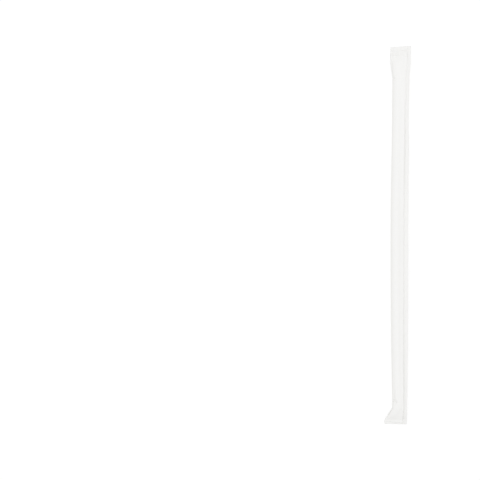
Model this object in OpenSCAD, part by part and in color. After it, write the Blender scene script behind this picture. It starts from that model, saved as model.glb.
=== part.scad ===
// Flexible drinking straw sealed in its paper sleeve, lying on a table.
// +Y runs along the straw to its top end, and +Z is up. The origin is on the table, under the
// axis of the straw at the middle of its length.
// The sleeve is one web of paper: a fold on the left, an upper and a lower web round the straw,
// and a crimped seal down the right that holds the two webs together.

/* [Straw] */
// Outer diameter of the straw
straw_d = 6; // [4:0.1:9]
// Length of the straw
straw_len = 197; // [120:1:260]
// How far the top half of the straw is bent out of line
top_bow = 1.05; // [0:0.05:4]
// How far the bottom half of the straw is bent out of line
bottom_bow = 1.15; // [0:0.05:4]

/* [Paper sleeve] */
// From the straw to the outside of the paper round it
paper_gap = 0.06; // [0.03:0.01:0.3]
// From the side of the wrapped straw to the crimped side seal
seam_reach = 1.9; // [1.5:0.05:4]
// Width of the crimped side seal
seam_w = 2.6; // [1:0.05:5]
// Width of the ridge where each web turns down to the side seal
ridge_w = 0.45; // [0.2:0.05:0.8]
// Height of that ridge at the middle of the straw
ridge_h = 0.6; // [0.05:0.05:1]
// Angle above the sleeve's plane at which each web leaves the straw
leave_angle = 52; // [40:1:75]
// Spare paper in each web between the straw and the ridge
web_slack = 0.55; // [0:0.05:1]
// Thickness of the two webs where they lie together
webs_t = 0.3; // [0.22:0.01:0.5]
// Thickness of the two webs where they are crimped
crimp_t = 0.2; // [0.1:0.01:0.22]
// How far the sleeve's underside is pressed flat by the table
settle = 0.1; // [0.05:0.01:0.3]

/* [Top end] */
// From the end of the straw to the cut edge
top_tail = 19.25; // [14:0.25:40]
// Length that stays round past the end of the straw
top_neck = 0.3; // [0:0.1:4]
// Length pressed flat
top_flat = 8.05; // [7:0.05:9.5]
// Width of the crimped band
top_band = 3.3; // [1:0.1:4]
// Plain margin between the band and the cut edge
top_margin = 2.25; // [0.5:0.05:2.9]
// How far the flat end is shifted along its width
top_shift = -0.3; // [-4:0.1:2]
// Slant of the cut edge in degrees
top_slant = 3.6; // [-5:0.1:5]
// How far the cut edge is skewed to the side
top_skew = 0.35; // [-1:0.05:1]
// Lean of the flat end in degrees, below 0 with its fold side down
top_lean = -24.5; // [-30:0.5:15]
// How much longer the fold side stays round as the sleeve flattens
top_fold_stiffness = 1.5; // [0:0.1:3]
// Height of the ridge at this end of the straw
top_ridge_h = 1.05; // [0.05:0.05:1.5]
// Length of straw beside which the side seal swings out to the flat end
top_swing = 22; // [5:0.5:60]
// From the side of the wrapped straw to the side seal at this end of the straw
top_seam_reach = 2.7; // [1.5:0.05:4]
// Width of the side seal beside this end of the straw
top_seam_w = 2.15; // [1:0.05:5]

/* [Bottom end] */
// From the end of the straw to the cut edge
bottom_tail = 13.5; // [10:0.1:40]
// Length that stays round past the end of the straw
bottom_neck = 3.5; // [0:0.1:4]
// Length pressed flat
bottom_flat = 2.8; // [2:0.1:4.5]
// Plain margin between the crimped band and the cut edge
bottom_margin = 0.6; // [0.3:0.1:1.6]
// How far the flat end is shifted along its width
bottom_shift = -3.4; // [-4:0.1:2]
// Slant of the cut edge in degrees
bottom_slant = -2.2; // [-5:0.1:5]
// Lean of the flat end in degrees
bottom_lean = 1; // [0:0.5:12]
// How far the flat end hangs below the axis of the straw
bottom_sag = 1.3; // [0:0.1:1.6]
// How far the cut edge hangs below the rest of the flat end
bottom_droop = 0.8; // [0:0.1:1]
// How much looser the paper is round this end of the straw
bottom_slack = 0.2; // [0:0.05:0.5]
// Height of the ridge at this end of the straw
bottom_ridge_h = 1.8; // [0.05:0.05:2.2]
// From the side of the wrapped straw to the side seal at this end of the straw
bottom_seam_reach = 0.7; // [0.5:0.05:4]
// Width of the side seal beside this end of the straw
bottom_seam_w = 2; // [1:0.05:5]

/* [Hidden] */

paper_white = [0.95, 0.945, 0.935];

// Length over which the paper steps down to a crimped band
crimp_step = 0.12;
// How straight each web runs on to its ridge: 1 swings most, 0 least
landing = 0.35;
// How soon each flare spreads: 1 is even, more is sooner
top_spread_power = 1.6;
bottom_spread_power = 1.1;
// How late the sleeve comes down past the straw's bottom end: 1 is even, more is later
fall_power = 2.8;
// How late the side seal narrows towards each end, and closes in on the straw's bottom end
top_narrowing_power = 2;
bottom_narrowing_power = 4;
reach_power = 1.5;
// Number of steps round the straw, down the free web, over the ridge, along the straw and down
// each tail
arc_steps = 14;
free_steps = 8;
ridge_steps = 4;
straw_steps = 48;
flare_steps = 12;

// The section round the straw, across and up from the straw's axis
function arc_point(r, angle) = [r * cos(angle), r * sin(angle)];
sleeve_r = straw_d / 2 + paper_gap;
leave_at = arc_point(sleeve_r, leave_angle);
ridge_at = [sleeve_r + seam_reach - ridge_w, webs_t / 2 + ridge_h];

// Distances along one web, measured from the fold
fold_s = webs_t / 2;
leave_s = sleeve_r * (180 - leave_angle) * PI / 180;
free_len = norm(ridge_at - leave_at) + web_slack;
ridge_s = leave_s + free_len;
crimp_s = ridge_s + ridge_w;
edge_s = crimp_s + seam_w;

// Stations along the length
half_len = straw_len / 2;
top_end = half_len + top_tail;
top_flare = half_len + top_neck;
top_press = top_end - top_flat;
bottom_end = -half_len - bottom_tail;
bottom_flare = -half_len - bottom_neck;
bottom_neck_mid = -half_len - bottom_neck / 2;
bottom_press = bottom_end + bottom_flat;
top_band_far = top_end - top_margin;
top_band_near = top_band_far - top_band;
bottom_band_far = bottom_end + bottom_margin;

// Middle of the wrapped straw and its seal, and the height of the straw's axis
tube_mid = (seam_reach + seam_w) / 2;
axis_z = sleeve_r - settle;

function mix(a, b, t) = a + (b - a) * t;
function share(y, from, to) = max(0, min(1, (y - from) / (to - from)));

// How wide the sleeve has spread, from round to flat, and how far it has come down
function flare(y) = y > 0 ? share(y, top_flare, top_press) : share(y, bottom_flare, bottom_press);
function spread(y) = 1 - pow(1 - flare(y), y > 0 ? top_spread_power : bottom_spread_power);
function flattened(y) = y > 0 ? flare(y) : pow(share(y, -half_len, bottom_press), fall_power);
function folded(s, y) = y > 0
    ? pow(flattened(y), 1 + top_fold_stiffness * (1 - share(s, 0, leave_s)))
    : flattened(y);

// What changes along the straw, by the share of the way from its middle to either end: the
// paper's slack, its seam, and the way the sleeve lies
function to_bottom(y) = share(-y, 0, half_len);
function to_top(y) = share(y, 0, half_len);
function swing(y) = share(y, half_len - top_swing, half_len);
function tube_r(y) = sleeve_r + bottom_slack * to_bottom(y);
function seam_x(y) = sleeve_r + mix(
    mix(seam_reach, bottom_seam_reach, pow(to_bottom(y), reach_power)),
    top_seam_reach, swing(y));
function seal_w(y) = mix(
    mix(seam_w, bottom_seam_w, pow(to_bottom(y), bottom_narrowing_power)),
    top_seam_w, pow(to_top(y), top_narrowing_power));
function ridge_up(y) = mix(mix(ridge_h, bottom_ridge_h, to_bottom(y)), top_ridge_h, to_top(y));
function lean(y) = mix(bottom_lean, top_lean, to_top(y));
function slant(y) = y > 0
    ? tan(top_slant) * share(y, top_band_far, top_end)
    : tan(bottom_slant) * share(y, bottom_press, bottom_end);
function axis_x(y) = y > 0
    ? top_bow * pow(sin(90 * to_top(y)), 2) + top_skew * share(y, top_band_near, top_end)
    : bottom_bow * pow(to_bottom(y), 2);
function tube_z(y) = tube_r(y) - settle;
function middle_z(y) = y > 0
    ? tube_z(y)
    : mix(tube_z(y), axis_z - bottom_sag, flattened(y))
        - bottom_droop * share(y, bottom_press, bottom_end);

// Half the thickness of the paper where the two webs lie together
function in_band(y) = (y > top_band_near && y < top_band_far)
    || (y < bottom_press && y > bottom_band_far);
function half_t(s, y) = (s > crimp_s || in_band(y) ? crimp_t : webs_t) / 2;

// A smooth curve between two points, with its direction given at both
function curve(from, to, out, in, t) =
    (1 + 2 * t) * pow(1 - t, 2) * from + t * pow(1 - t, 2) * out
    + t * t * (3 - 2 * t) * to - t * t * (1 - t) * in;

// A point of the upper web at a distance from the fold: round the straw, free, over the ridge and
// out along the seal
function free_point(t, y) = curve(
    arc_point(tube_r(y), leave_angle),
    [seam_x(y) - ridge_w, webs_t / 2 + ridge_up(y)],
    free_len * [sin(leave_angle), -cos(leave_angle)],
    free_len * [landing, 0],
    t);
function ridge_point(t, y) = [seam_x(y) - ridge_w * (1 - t), webs_t / 2 + ridge_up(y) * (1 - t * t)];
function round_point(s, y) =
    s <= leave_s ? arc_point(tube_r(y), 180 - (180 - leave_angle) * s / leave_s)
    : s < ridge_s ? free_point((s - leave_s) / free_len, y)
    : s <= crimp_s ? ridge_point((s - ridge_s) / ridge_w, y)
    : [seam_x(y) + (s - crimp_s) * seal_w(y) / seam_w, half_t(s, y)];
function flat_point(s, y) =
    [tube_mid + (y > 0 ? top_shift : bottom_shift) - edge_s / 2 + s, half_t(s, y)];
function web_point(s, y) = [
    mix(round_point(s, y)[0], flat_point(s, y)[0], spread(y)),
    mix(round_point(s, y)[1], flat_point(s, y)[1], folded(s, y))];

// The same point in the part's own frame, on the upper side for side = 1 and the lower for -1
function placed(at, y, side) = [
    axis_x(y) + at[0] * cos(lean(y)) + side * at[1] * sin(lean(y)),
    y + slant(y) * (at[0] - tube_mid),
    middle_z(y) - at[0] * sin(lean(y)) + side * at[1] * cos(lean(y))];

web_stops = [
    for (i = [0 : arc_steps]) mix(fold_s, leave_s, i / arc_steps),
    for (i = [1 : free_steps]) mix(leave_s, ridge_s, i / free_steps),
    for (i = [1 : ridge_steps]) mix(ridge_s, crimp_s, i / ridge_steps),
    crimp_s + crimp_step,
    edge_s];

function flare_stops(from, to) = [for (i = [1 : flare_steps]) mix(from, to, i / flare_steps)];
function reversed(list) = [for (i = [len(list) - 1 : -1 : 0]) list[i]];

stations = concat(
    [bottom_end, bottom_band_far, bottom_band_far + crimp_step, bottom_press - crimp_step],
    reversed(flare_stops(bottom_flare, bottom_press)),
    [bottom_flare, bottom_neck_mid],
    [for (i = [0 : straw_steps]) mix(-half_len, half_len, i / straw_steps)],
    [top_flare],
    flare_stops(top_flare, top_press),
    [top_band_near, top_band_near + crimp_step, top_band_far - crimp_step, top_band_far, top_end]);

stop_count = len(web_stops);
ring_size = 2 * stop_count;
ring_count = len(stations);

sleeve_points = [for (y = stations) each concat(
    [for (s = web_stops) placed(web_point(s, y), y, 1)],
    [for (s = reversed(web_stops)) placed(web_point(s, y), y, -1)])];

// The cut ends are closed by strips from the upper web to the lower
function end_strip(first, i) = [first + i, first + i + 1,
    first + ring_size - 2 - i, first + ring_size - 1 - i];

side_faces = [for (ring = [0 : ring_count - 2], i = [0 : ring_size - 1])
    [ring * ring_size + i,
     (ring + 1) * ring_size + i,
     (ring + 1) * ring_size + (i + 1) % ring_size,
     ring * ring_size + (i + 1) % ring_size]];
bottom_faces = [for (i = [0 : stop_count - 2]) end_strip(0, i)];
top_faces = [for (i = [0 : stop_count - 2])
    reversed(end_strip((ring_count - 1) * ring_size, i))];

// The sleeve with the straw sealed inside, trimmed flat where it lies on the table
module wrapped_straw() {
    color(paper_white)
        intersection() {
            polyhedron(sleeve_points, concat(side_faces, bottom_faces, top_faces));
            translate([-2 * edge_s, 2 * bottom_end, 0])
                cube([4 * edge_s + top_bow + bottom_bow, 2 * (top_end - bottom_end), 4 * sleeve_r]);
        }
}

wrapped_straw();
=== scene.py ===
import math
import bpy
import numpy as np
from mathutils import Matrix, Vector, noise


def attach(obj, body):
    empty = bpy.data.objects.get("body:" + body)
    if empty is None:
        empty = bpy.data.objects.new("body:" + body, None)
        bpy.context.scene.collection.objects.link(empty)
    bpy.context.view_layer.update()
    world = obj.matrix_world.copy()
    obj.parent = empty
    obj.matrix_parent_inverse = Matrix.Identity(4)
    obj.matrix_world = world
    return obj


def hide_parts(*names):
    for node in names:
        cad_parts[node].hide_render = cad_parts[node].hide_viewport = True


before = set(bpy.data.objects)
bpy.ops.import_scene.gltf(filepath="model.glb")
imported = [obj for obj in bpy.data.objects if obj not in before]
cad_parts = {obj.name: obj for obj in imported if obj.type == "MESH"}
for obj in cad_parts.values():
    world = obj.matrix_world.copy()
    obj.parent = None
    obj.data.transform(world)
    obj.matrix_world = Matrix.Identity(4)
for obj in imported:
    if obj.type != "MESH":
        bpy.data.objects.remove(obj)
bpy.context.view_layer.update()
mm = 0.001
print("frame loaded:", sorted(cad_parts))

# Straw and paper web, in millimetres and degrees
# s runs across the web from its fold, v runs along it from the middle of the straw
sleeve = {
    "strawDiameter": 6.0,
    "strawLength": 197.0,
    "topBow": 1.05,
    "bottomBow": 1.15,
    # Section round the straw
    "paperGap": 0.06,
    "seamReach": 1.9,
    "seamWidth": 2.6,
    "ridgeWidth": 0.45,
    "ridgeHeight": 0.6,
    "leaveAngle": 52.0,
    "webSlack": 0.55,
    "landing": 0.35,
    "websThick": 0.3,
    "crimpThick": 0.2,
    "edgeTaper": 0.12,
    "settle": 0.1,
    # Top end
    "topTail": 19.25,
    "topNeck": 0.3,
    "topEase": 1.6,
    "topFlat": 8.05,
    "topBand": 3.3,
    "topMargin": 2.25,
    "topShift": -0.3,
    "topSlant": 3.6,
    "topSkew": 0.35,
    "topLean": -24.5,
    "topRidgeHeight": 1.05,
    "topSwing": 22.0,
    "topSeamReach": 2.7,
    "topSeamWidth": 2.15,
    "topNarrowing": 2,
    "topFoldStiffness": 1.5,
    # Bottom end
    "bottomTail": 13.5,
    "bottomNeck": 3.5,
    "bottomEase": 1.1,
    "bottomFlat": 2.8,
    "bottomMargin": 0.6,
    "bottomShift": -3.4,
    "bottomSlant": -2.2,
    "bottomLean": 1.0,
    "bottomFall": 2.8,
    "bottomSag": 1.3,
    "bottomDroop": 0.8,
    "bottomSlack": 0.2,
    "bottomRidgeHeight": 1.8,
    "bottomSeamReach": 0.7,
    "bottomSeamEase": 1.5,
    "bottomSeamWidth": 2.0,
    "bottomNarrowing": 4,
    # Cells of the flat web
    "cellsAcross": 56,
    "endReach": 4.0,
    "endCell": 0.47,
    "middleCell": 1.03,
    "seamFineReach": 0.8,
    "mergeDistance": 0.002,
}

# Crimping wheel's teeth and the paper's own unevenness
relief = {
    # Teeth in the seals
    "toothPitch": 1.3,
    "toothDepth": 0.11,
    "topToothDepth": 0.22,
    "bottomToothDepth": 0.05,
    "bandSoftness": 0.2,
    # Sway of the side seal
    "sway": 0.15,
    "swayLength": 14.0,
    "swayReach": 1.0,
    "swaySeed": 1.7,
    # Slow waves and fine cockle of the loose paper
    "wave": 0.02,
    "waveLength": 14.0,
    "waveStretch": 0.35,
    "waveSeed": 3.1,
    "cockle": 0.003,
    "cockleLength": 1.6,
    "cockleSeed": 8.4,
    # Cut edges
    "ragged": 0.16,
    "raggedLength": 1.7,
    "raggedSeed": 5.7,
    "raggedEnds": 20.0,
    "cutDepth": 1.2,
    # Lines deeper than this get finer paper
    "fineDepth": 0.05,
}

# Creases in the upper web where the straw's ends push it, from (s, v) to (s, v)
creases = [
    {"start": (2.8, 98.8), "end": (3.8, 98.5), "width": 0.45, "depth": 0.7},
    {"start": (2.1, 98.8), "end": (0.5, 109.4), "width": 0.65, "depth": 0.45, "endDepth": 0.35},
    {"start": (1.0, 110.0), "end": (2.4, 110.0), "width": 0.7, "depth": -0.12},
    {"start": (1.9, -84.0), "end": (2.3, -97.0), "width": 1.0, "depth": 0.0, "endDepth": 0.3},
    {"start": (3.7, -84.0), "end": (4.0, -96.5), "width": 0.8, "depth": 0.0, "endDepth": -0.35},
]

# Sharp tucks in the upper web, pushed straight down
tucks = [
    {"start": (1.2, -98.3), "end": (2.6, -97.0), "width": 0.4, "depth": 1.1, "endDepth": 0.9},
    {"start": (3.1, -97.6), "end": (3.9, -98.6), "width": 0.4, "depth": 0.95},
    {"start": (3.6, -99.5), "end": (2.6, -100.8), "width": 0.6, "depth": 0.4, "endDepth": 0.15},
    {"start": (0.85, -102.2), "end": (1.0, -107.6), "width": 0.36, "depth": 1.0, "endDepth": 0.78},
]


def ramp(x, start, end):
    return np.clip((x - start) / (end - start), 0.0, 1.0)


def mix(a, b, t):
    return a + (b - a) * t


def curve(start, end, slopeOut, slopeIn, t):
    # Cubic from start to end that leaves and arrives with the given slopes
    back = 1.0 - t
    return ((1 + 2 * t) * back**2 * start + t * back**2 * slopeOut
            + t**2 * (3 - 2 * t) * end - t**2 * back * slopeIn)


# Lengths that follow from the sleeve's own sizes
radius = sleeve["strawDiameter"] / 2 + sleeve["paperGap"]
leave = math.radians(sleeve["leaveAngle"])
halfWebs = sleeve["websThick"] / 2
halfCrimp = sleeve["crimpThick"] / 2
leaveAt = radius * (math.pi - leave)
freeLength = math.dist(
    (radius * math.cos(leave), radius * math.sin(leave)),
    (radius + sleeve["seamReach"] - sleeve["ridgeWidth"], halfWebs + sleeve["ridgeHeight"]))
freeLength += sleeve["webSlack"]
ridgeAt = leaveAt + freeLength
crimpAt = ridgeAt + sleeve["ridgeWidth"]
edgeAt = crimpAt + sleeve["seamWidth"]
halfLength = sleeve["strawLength"] / 2
topCut = halfLength + sleeve["topTail"]
topPress = topCut - sleeve["topFlat"]
bandFar = topCut - sleeve["topMargin"]
bandNear = bandFar - sleeve["topBand"]
bottomCut = -halfLength - sleeve["bottomTail"]
bottomPress = bottomCut + sleeve["bottomFlat"]
bottomFar = bottomCut + sleeve["bottomMargin"]
tubeMid = (sleeve["seamReach"] + sleeve["seamWidth"]) / 2
axisUp = radius - sleeve["settle"]

# Lines that the wheels press into both webs at once: the top band's, then the bottom cut's
pressLines = [
    {"start": (2.4, bandFar), "end": (edgeAt - 1.2, bandFar),
     "width": 0.28, "depth": 0.12, "endDepth": 0.3},
    {"start": (1.3, bandNear), "end": (1.3, bandFar - 0.6), "width": 0.25, "depth": 0.6},
    {"start": (1.3, bandNear), "end": (9.5, bandNear), "width": 0.25, "depth": 0.14},
    {"start": (3.4, bandNear - 0.8), "end": (3.4, bandNear + 0.2), "width": 0.3, "depth": 0.35},
    {"start": (crimpAt + 0.2, bandNear - 0.5), "end": (crimpAt + 0.2, bandNear + 0.7),
     "width": 0.35, "depth": 0.35},
    {"start": (crimpAt + 0.5, bandNear - 1.4), "end": (crimpAt + 1.7, bandNear - 1.4),
     "width": 0.2, "depth": 0.2},
    {"start": (0.2, bottomCut + 1.0), "end": (12.6, bottomCut + 0.5), "width": 0.22, "depth": 0.5},
]

# Small nicks that stand up from the side seal
nicks = {"places": (-50.2, -64.8), "reach": 0.1, "width": 0.3, "depth": -0.3}
for place in nicks["places"]:
    pressLines.append({
        "start": (crimpAt - nicks["reach"], place),
        "end": (crimpAt + nicks["reach"], place),
        "width": nicks["width"],
        "depth": nicks["depth"],
    })

# Fine lines down the side seal at the bottom end
sealLines = {
    "reaches": (1.15, 1.75, 2.3),
    "start": -96.5,
    "end": -110.6,
    "width": 0.2,
    "depth": 0.1,
    "endDepth": 0.34,
}
for reach in sealLines["reaches"]:
    pressLines.append({
        "start": (crimpAt + reach, sealLines["start"]),
        "end": (crimpAt + reach, sealLines["end"]),
        "width": sealLines["width"],
        "depth": sealLines["depth"],
        "endDepth": sealLines["endDepth"],
    })

# The crease beside the side seal: how far it strays from the seal and how deep it is, along v
seamCrease = {
    "width": 0.24,
    "stops": [
        {"v": -112.0, "stray": 0.17, "depth": 0.25},
        {"v": -109.4, "stray": 0.17, "depth": 0.7},
        {"v": -108.4, "stray": 0.35, "depth": 0.7},
        {"v": -106.5, "stray": 0.25, "depth": 0.58},
        {"v": -104.3, "stray": 0.12, "depth": 0.38},
        {"v": -101.0, "stray": 0.0, "depth": 0.75},
        {"v": -90.0, "stray": -0.03, "depth": 0.9},
        {"v": -70.0, "stray": -0.05, "depth": 0.76},
        {"v": -40.0, "stray": 0.0, "depth": 0.48},
        {"v": 0.0, "stray": -0.04, "depth": 0.42},
        {"v": 20.0, "stray": 0.03, "depth": 0.44},
        {"v": 52.0, "stray": 0.15, "depth": 0.58},
        {"v": 80.0, "stray": 0.25, "depth": 0.25},
        {"v": 98.0, "stray": 0.3, "depth": 0.22},
        {"v": 106.0, "stray": 0.05, "depth": 0.25},
        {"v": 111.0, "stray": 0.25, "depth": 0.33},
    ],
}


def flare(v):
    # How far the web has spread, from round to flat, and how far it has come down
    top = ramp(v, halfLength + sleeve["topNeck"], topPress)
    bottom = ramp(v, -halfLength - sleeve["bottomNeck"], bottomPress)
    wideTop = 1 - (1 - top)**sleeve["topEase"]
    wideBottom = 1 - (1 - bottom)**sleeve["bottomEase"]
    lowBottom = ramp(v, -halfLength, bottomPress)**sleeve["bottomFall"]
    return np.where(v > 0, wideTop, wideBottom), np.where(v > 0, top, lowBottom)


def crimpMask(s, v):
    # 1 where the wheels have pressed the two webs together: down the side, and across the ends
    soft = relief["bandSoftness"]
    side = ramp(s, crimpAt, crimpAt + soft)
    top = ramp(v, bandNear - soft, bandNear) * ramp(v, bandFar + soft, bandFar)
    bottom = ramp(v, bottomPress + soft, bottomPress) * ramp(v, bottomFar - soft, bottomFar)
    return side, top, bottom


def roundSection(s, v):
    # The upper web while it is round: where the seal starts and how high the ridge is, along v
    slack = ramp(-v, 0, halfLength)
    rise = ramp(v, 0, halfLength)
    swing = ramp(v, halfLength - sleeve["topSwing"], halfLength)
    tube = radius + sleeve["bottomSlack"] * slack
    seam = mix(sleeve["seamReach"], sleeve["bottomSeamReach"], slack**sleeve["bottomSeamEase"])
    seam = radius + mix(seam, sleeve["topSeamReach"], swing)
    ridge = mix(sleeve["ridgeHeight"], sleeve["bottomRidgeHeight"], slack)
    ridge = mix(ridge, sleeve["topRidgeHeight"], rise)
    fin = mix(sleeve["seamWidth"], sleeve["bottomSeamWidth"], slack**sleeve["bottomNarrowing"])
    fin = mix(fin, sleeve["topSeamWidth"], rise**sleeve["topNarrowing"])
    # Round the straw
    turn = math.pi - (math.pi - leave) * np.minimum(s / leaveAt, 1.0)
    across = tube * np.cos(turn)
    up = tube * np.sin(turn)
    # Free of it
    t = ramp(s, leaveAt, ridgeAt)
    freeAcross = curve(tube * math.cos(leave), seam - sleeve["ridgeWidth"],
                       freeLength * math.sin(leave), freeLength * sleeve["landing"], t)
    freeUp = curve(tube * math.sin(leave), halfWebs + ridge, -freeLength * math.cos(leave), 0.0, t)
    across = np.where(s > leaveAt, freeAcross, across)
    up = np.where(s > leaveAt, freeUp, up)
    # Over the ridge and out along the seal
    t = ramp(s, ridgeAt, crimpAt)
    across = np.where(s > ridgeAt, seam - sleeve["ridgeWidth"] * (1 - t), across)
    up = np.where(s > ridgeAt, halfWebs + ridge * (1 - t * t), up)
    across = np.where(s > crimpAt, seam + (s - crimpAt) * fin / sleeve["seamWidth"], across)
    return across, up


def foldWeb(u, v):
    # Takes points of the flat web to where they lie: u is s, and negative on the lower web
    s = np.abs(u)
    wide, low = flare(v)
    stiffness = np.where(v > 0, sleeve["topFoldStiffness"], 0) * (1 - ramp(s, 0, leaveAt))
    fold = low**(1 + stiffness)
    # Half the seal's thickness, which goes to nothing at the cut edges
    taper = sleeve["edgeTaper"]
    thinned = ramp(edgeAt - s, 0, taper) * ramp(topCut - v, 0, taper) * ramp(v - bottomCut, 0, taper)
    half = mix(halfWebs, halfCrimp, np.maximum.reduce(crimpMask(s, v))) * np.sqrt(thinned)
    # The section, from round to flat
    across, up = roundSection(s, v)
    up = np.where(s > crimpAt, half, up)
    shift = np.where(v > 0, sleeve["topShift"], sleeve["bottomShift"])
    across = mix(across, tubeMid + shift - edgeAt / 2 + s, wide)
    up = mix(up, half, fold) * np.sign(u)
    # How high it lies and how it leans
    slack = ramp(-v, 0, halfLength)
    tubeUp = radius + sleeve["bottomSlack"] * slack - sleeve["settle"]
    dropped = mix(tubeUp, axisUp - sleeve["bottomSag"], low)
    dropped -= sleeve["bottomDroop"] * ramp(v, bottomPress, bottomCut)
    middleUp = np.where(v > 0, tubeUp, dropped)
    lean = np.radians(mix(sleeve["bottomLean"], sleeve["topLean"], ramp(v, 0, halfLength)))
    # The straw's bow, and the slant of the cut ends
    topBend = sleeve["topBow"] * np.sin(math.pi / 2 * ramp(v, 0, halfLength))**2
    bottomBend = sleeve["bottomBow"] * slack**2
    skew = sleeve["topSkew"] * ramp(v, bandNear, topCut)
    slantTop = math.tan(math.radians(sleeve["topSlant"])) * ramp(v, bandFar, topCut)
    slantBottom = math.tan(math.radians(sleeve["bottomSlant"])) * ramp(v, bottomPress, bottomCut)
    slant = np.where(v > 0, slantTop, slantBottom)
    x = topBend + bottomBend + skew + across * np.cos(lean) + up * np.sin(lean)
    y = v + slant * (across - tubeMid)
    z = middleUp - across * np.sin(lean) + up * np.cos(lean)
    return np.stack([x, y, z], axis=1)


def noiseAt(u, v, size, seed):
    return np.array([noise.noise(Vector((a / size, b / size, seed))) for a, b in zip(u, v)])


def teeth(s, v):
    # Diamond knurl of the crimping wheels
    turn = 2 * math.pi / relief["toothPitch"] * math.sqrt(0.5)
    return np.sin(turn * (s + v)) * np.sin(turn * (s - v))


def pressed(s, v, lines):
    # How deep a list of lines is pressed, each deepest along its middle
    depth = np.zeros_like(s)
    for line in lines:
        startS, startV = line["start"]
        alongS = line["end"][0] - startS
        alongV = line["end"][1] - startV
        t = np.clip(((s - startS) * alongS + (v - startV) * alongV) / (alongS**2 + alongV**2), 0, 1)
        away = np.hypot(s - startS - t * alongS, v - startV - t * alongV)
        endDepth = line.get("endDepth", line["depth"])
        depth += mix(line["depth"], endDepth, t) * np.exp(-(away / line["width"])**2)
    return depth


def creased(u, v):
    # How deep every line and crease is pressed: the creases are in the upper web alone
    s = np.abs(u)
    places = [stop["v"] for stop in seamCrease["stops"]]
    strays = [stop["stray"] for stop in seamCrease["stops"]]
    depths = [stop["depth"] for stop in seamCrease["stops"]]
    away = s - crimpAt - np.interp(v, places, strays)
    seam = np.interp(v, places, depths) * np.exp(-(away / seamCrease["width"])**2)
    both = pressed(s, v, pressLines) + seam
    return np.sign(u) * both + np.where(u > 0, pressed(s, v, creases), 0)


def tucked(u, v):
    return np.where(u > 0, pressed(np.abs(u), v, tucks), 0)


def nearSeam(u, v):
    besideSeal = np.abs(u) > crimpAt - sleeve["seamFineReach"]
    return besideSeal | (np.abs(v) > halfLength - sleeve["endReach"])


def nearRelief(u, v):
    deep = np.abs(creased(u, v)) + tucked(u, v)
    return (np.maximum.reduce(crimpMask(np.abs(u), v)) > 0) | (deep > relief["fineDepth"])


def selectFaces(piece, wanted):
    bpy.ops.object.mode_set(mode="EDIT")
    bpy.ops.mesh.select_mode(type="FACE")
    bpy.ops.mesh.select_all(action="DESELECT")
    bpy.ops.object.mode_set(mode="OBJECT")
    centres = np.zeros(len(piece.data.polygons) * 3)
    piece.data.polygons.foreach_get("center", centres)
    centres = centres.reshape(-1, 3) / mm
    piece.data.polygons.foreach_set("select", wanted(centres[:, 0], centres[:, 1]))
    bpy.ops.object.mode_set(mode="EDIT")


def layBlank():
    # The web as it is cut: flat, with its fold along the middle and shorter cells at its ends
    fineFrom = halfLength - sleeve["endReach"]
    stops = np.array([bottomCut, -fineFrom, fineFrom, topCut])
    cells = np.array([sleeve["endCell"], sleeve["middleCell"], sleeve["endCell"]])
    rows = np.concatenate([[0], np.cumsum(np.diff(stops) / cells)])
    bpy.ops.object.select_all(action="DESELECT")
    bpy.ops.mesh.primitive_grid_add(
        x_subdivisions=sleeve["cellsAcross"], y_subdivisions=round(rows[-1]), size=1.0, location=(0, 0, 0))
    blank = bpy.context.object
    blank.name = "paperSleeve"
    blank.data.name = "paperSleeve"
    grid = np.zeros(len(blank.data.vertices) * 3)
    blank.data.vertices.foreach_get("co", grid)
    grid = grid.reshape(-1, 3)
    grid[:, 0] *= 2 * edgeAt
    grid[:, 1] = np.interp((grid[:, 1] + 0.5) * rows[-1], rows, stops)
    blank.data.vertices.foreach_set("co", (grid * mm).ravel())
    blank.data.update()
    # Finer paper where it is crimped and creased
    for wanted in (nearSeam, nearRelief):
        selectFaces(blank, wanted)
        bpy.ops.mesh.subdivide(number_cuts=1, ngon=False)
        bpy.ops.object.mode_set(mode="OBJECT")
    return blank


def surfaceRise(u, v):
    # How far each point stands off the folded web
    s = np.abs(u)
    crimped = np.array(crimpMask(s, v))
    depths = np.array([relief["toothDepth"], relief["topToothDepth"], relief["bottomToothDepth"]])
    loose = 1 - crimped.max(axis=0)
    # The top band's teeth stop at the side seal
    crimped[1] *= 1 - crimped[0]
    # Both layers of a seal follow the same teeth
    rise = np.sign(u) * (depths[:, None] * crimped).max(axis=0) * teeth(s, v)
    waves = noiseAt(u, v * relief["waveStretch"], relief["waveLength"], relief["waveSeed"])
    rise += loose * relief["wave"] * waves
    rise += loose * relief["cockle"] * noiseAt(u, v, relief["cockleLength"], relief["cockleSeed"])
    rise -= creased(u, v)
    edge = np.minimum(np.minimum(edgeAt - s, topCut - v), v - bottomCut)
    return rise * ramp(edge, 0, sleeve["edgeTaper"])


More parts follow.
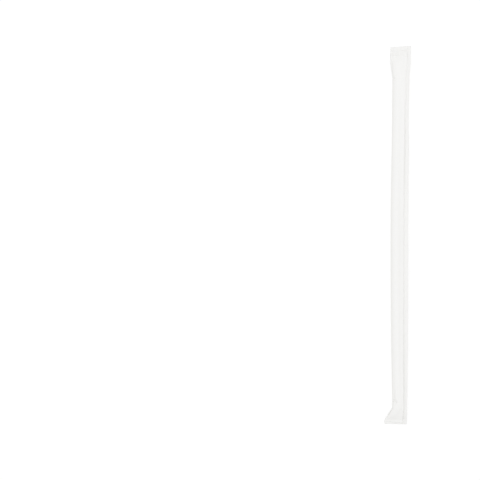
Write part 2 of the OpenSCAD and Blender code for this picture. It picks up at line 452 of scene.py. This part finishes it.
def wrapStraw(blank):
    mesh = blank.data
    count = len(mesh.vertices)
    flat = np.zeros(count * 3)
    mesh.vertices.foreach_get("co", flat)
    flat = flat.reshape(-1, 3) / mm
    u, v = flat[:, 0], flat[:, 1]
    s = np.abs(u)
    placed = foldWeb(u, v)
    mesh.vertices.foreach_set("co", (placed * mm).ravel())
    mesh.update()
    normals = np.zeros(count * 3)
    mesh.vertex_normals.foreach_get("vector", normals)
    placed += normals.reshape(-1, 3) * surfaceRise(u, v)[:, None]
    placed[:, 2] -= tucked(u, v)
    # The side seal sways, and the cut edges are a little uneven
    swing = noiseAt(0 * s, v, relief["swayLength"], relief["swaySeed"])
    placed[:, 0] += relief["sway"] * (ramp(s, crimpAt - relief["swayReach"], edgeAt) * swing)
    nearTop = ramp(v, topCut - relief["cutDepth"], topCut)
    nearBottom = ramp(v, bottomCut + relief["cutDepth"], bottomCut)
    torn = noiseAt(s, np.sign(v) * relief["raggedEnds"], relief["raggedLength"], relief["raggedSeed"])
    placed[:, 1] += (nearTop - nearBottom) * relief["ragged"] * torn
    # Nothing goes through the table
    placed[:, 2] = np.maximum(placed[:, 2], 0.0)
    mesh.vertices.foreach_set("co", (placed * mm).ravel())
    mesh.update()
    # The two webs meet at the cut edges, which closes the skin
    bpy.ops.object.mode_set(mode="EDIT")
    bpy.ops.mesh.select_all(action="SELECT")
    bpy.ops.mesh.remove_doubles(threshold=sleeve["mergeDistance"] * mm)
    bpy.ops.mesh.normals_make_consistent(inside=False)
    bpy.ops.object.mode_set(mode="OBJECT")
    bpy.ops.object.shade_smooth()


paperSleeve = layBlank()
wrapStraw(paperSleeve)
print("paper sleeve folded:", len(paperSleeve.data.polygons), "faces")

# Thin matt white wrapping paper, its grain in millimetres
paper = {
    "shade": (0.922, 0.92, 0.908),
    "shadeAt": 0.15,
    "lightShade": (0.93, 0.928, 0.918),
    "lightShadeAt": 0.35,
    "cloudSize": 3.0,
    "cloudDetail": 4.0,
    "fibreSize": 0.35,
    "fibreDetail": 5.0,
    "fibreStretch": 0.4,
    "roughness": 0.75,
    "specular": 0.3,
    "bump": 0.25,
    "bumpDepth": 0.01,
}


def addNode(tree, kind, values=None):
    node = tree.nodes.new(kind)
    for name, value in (values or {}).items():
        node.inputs[name].default_value = value
    return node


def addNoise(tree, size, detail):
    return addNode(tree, "ShaderNodeTexNoise", {"Scale": 1 / (size * mm), "Detail": detail})


def paperMaterial():
    made = bpy.data.materials.new("wrapping paper")
    made.use_nodes = True
    tree = made.node_tree
    shader = tree.nodes["Principled BSDF"]
    shader.inputs["Roughness"].default_value = paper["roughness"]
    shader.inputs["Specular IOR Level"].default_value = paper["specular"]
    place = addNode(tree, "ShaderNodeTexCoord")
    grain = addNode(tree, "ShaderNodeMapping", {"Scale": (1.0, paper["fibreStretch"], 1.0)})
    tree.links.new(place.outputs["Object"], grain.inputs["Vector"])
    clouds = addNoise(tree, paper["cloudSize"], paper["cloudDetail"])
    fibres = addNoise(tree, paper["fibreSize"], paper["fibreDetail"])
    tree.links.new(place.outputs["Object"], clouds.inputs["Vector"])
    tree.links.new(grain.outputs["Vector"], fibres.inputs["Vector"])
    both = addNode(tree, "ShaderNodeMath")
    both.operation = "MULTIPLY"
    tree.links.new(clouds.outputs["Fac"], both.inputs[0])
    tree.links.new(fibres.outputs["Fac"], both.inputs[1])
    tint = addNode(tree, "ShaderNodeValToRGB")
    tint.color_ramp.elements[0].position = paper["shadeAt"]
    tint.color_ramp.elements[0].color = (*paper["shade"], 1)
    tint.color_ramp.elements[1].position = paper["lightShadeAt"]
    tint.color_ramp.elements[1].color = (*paper["lightShade"], 1)
    tree.links.new(both.outputs["Value"], tint.inputs["Fac"])
    tree.links.new(tint.outputs["Color"], shader.inputs["Base Color"])
    bump = addNode(tree, "ShaderNodeBump", {"Strength": paper["bump"], "Distance": paper["bumpDepth"] * mm})
    tree.links.new(fibres.outputs["Fac"], bump.inputs["Height"])
    tree.links.new(bump.outputs["Normal"], shader.inputs["Normal"])
    return made


paperSleeve.data.materials.append(paperMaterial())
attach(paperSleeve, "root")
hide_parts("wrapped_straw")
print("paper finished")

# White table top and soft light all round, in metres
studio = {
    "floorSize": 8.0,
    "floorBounce": (0.88, 0.87, 0.84),
    "floorGlow": 0.78,
    "floorShown": (0.26, 0.26, 0.26),
    "white": (1, 1, 1, 1),
    "skyLight": 0.866,
    "backdropLight": 1.0,
    "lampPower": 2.236,
    "lampSize": 0.9,
    "lampPlace": (0.08, 0.32, 1.17),
}


def larger(tree, first, second):
    node = addNode(tree, "ShaderNodeMath")
    node.operation = "MAXIMUM"
    tree.links.new(first, node.inputs[0])
    tree.links.new(second, node.inputs[1])
    return node.outputs["Value"]


def layFloor():
    # White where it is seen, and a paper-like white for the light that it throws back
    bpy.ops.object.select_all(action="DESELECT")
    bpy.ops.mesh.primitive_plane_add(size=studio["floorSize"], location=(0, 0, 0))
    floor = bpy.context.object
    floor.name = "tableTop"
    made = bpy.data.materials.new("white table top")
    made.use_nodes = True
    tree = made.node_tree
    tree.nodes.remove(tree.nodes["Principled BSDF"])
    bounce = addNode(tree, "ShaderNodeBsdfDiffuse", {"Color": (*studio["floorBounce"], 1)})
    shown = addNode(tree, "ShaderNodeBsdfDiffuse", {"Color": (*studio["floorShown"], 1)})
    glow = addNode(tree, "ShaderNodeEmission", {"Strength": studio["floorGlow"]})
    white = addNode(tree, "ShaderNodeAddShader")
    tree.links.new(shown.outputs["BSDF"], white.inputs[0])
    tree.links.new(glow.outputs["Emission"], white.inputs[1])
    rays = addNode(tree, "ShaderNodeLightPath").outputs
    mirrored = larger(tree, rays["Is Glossy Ray"], rays["Is Transmission Ray"])
    seen = larger(tree, rays["Is Camera Ray"], mirrored)
    either = addNode(tree, "ShaderNodeMixShader")
    tree.links.new(seen, either.inputs["Fac"])
    tree.links.new(bounce.outputs["BSDF"], either.inputs[1])
    tree.links.new(white.outputs["Shader"], either.inputs[2])
    tree.links.new(either.outputs["Shader"], tree.nodes["Material Output"].inputs["Surface"])
    floor.data.materials.append(made)


def hangLights():
    world = bpy.data.worlds.new("studio")
    bpy.context.scene.world = world
    world.use_nodes = True
    tree = world.node_tree
    sky = tree.nodes["Background"]
    sky.inputs["Color"].default_value = studio["white"]
    sky.inputs["Strength"].default_value = studio["skyLight"]
    backdrop = addNode(tree, "ShaderNodeBackground",
                       {"Color": studio["white"], "Strength": studio["backdropLight"]})
    rays = addNode(tree, "ShaderNodeLightPath")
    either = addNode(tree, "ShaderNodeMixShader")
    tree.links.new(rays.outputs["Is Camera Ray"], either.inputs["Fac"])
    tree.links.new(sky.outputs["Background"], either.inputs[1])
    tree.links.new(backdrop.outputs["Background"], either.inputs[2])
    tree.links.new(either.outputs["Shader"], tree.nodes["World Output"].inputs["Surface"])
    bpy.ops.object.light_add(type="AREA", location=studio["lampPlace"])
    lamp = bpy.context.object
    lamp.name = "softbox"
    lamp.data.size = studio["lampSize"]
    lamp.data.energy = studio["lampPower"]
    lamp.rotation_euler = (-Vector(studio["lampPlace"])).to_track_quat("-Z", "Y").to_euler()
    lamp.visible_camera = False


layFloor()
hangLights()
print("table top and lights set")

# Straight down, framed as in the photograph: its pixels are 480 across
lens = {
    "framePixels": 480,
    "millimetresPerPixel": 0.6085,
    "strawPixel": (395.75, 240.25),
    "distance": 3000.0,
    "sensor": 36.0,
}


def setCamera():
    middle = lens["framePixels"] / 2
    scale = lens["millimetresPerPixel"]
    x = (middle - lens["strawPixel"][0]) * scale
    y = (lens["strawPixel"][1] - middle) * scale
    z = lens["distance"] + axisUp
    bpy.ops.object.camera_add(location=(x * mm, y * mm, z * mm), rotation=(0, 0, 0))
    camera = bpy.context.object
    camera.name = "camera"
    camera.data.sensor_width = lens["sensor"]
    camera.data.lens = lens["sensor"] * lens["distance"] / (lens["framePixels"] * scale)
    camera.data.clip_end = 2 * lens["distance"] * mm
    bpy.context.scene.camera = camera


setCamera()
bpy.context.scene.view_settings.view_transform = "Standard"
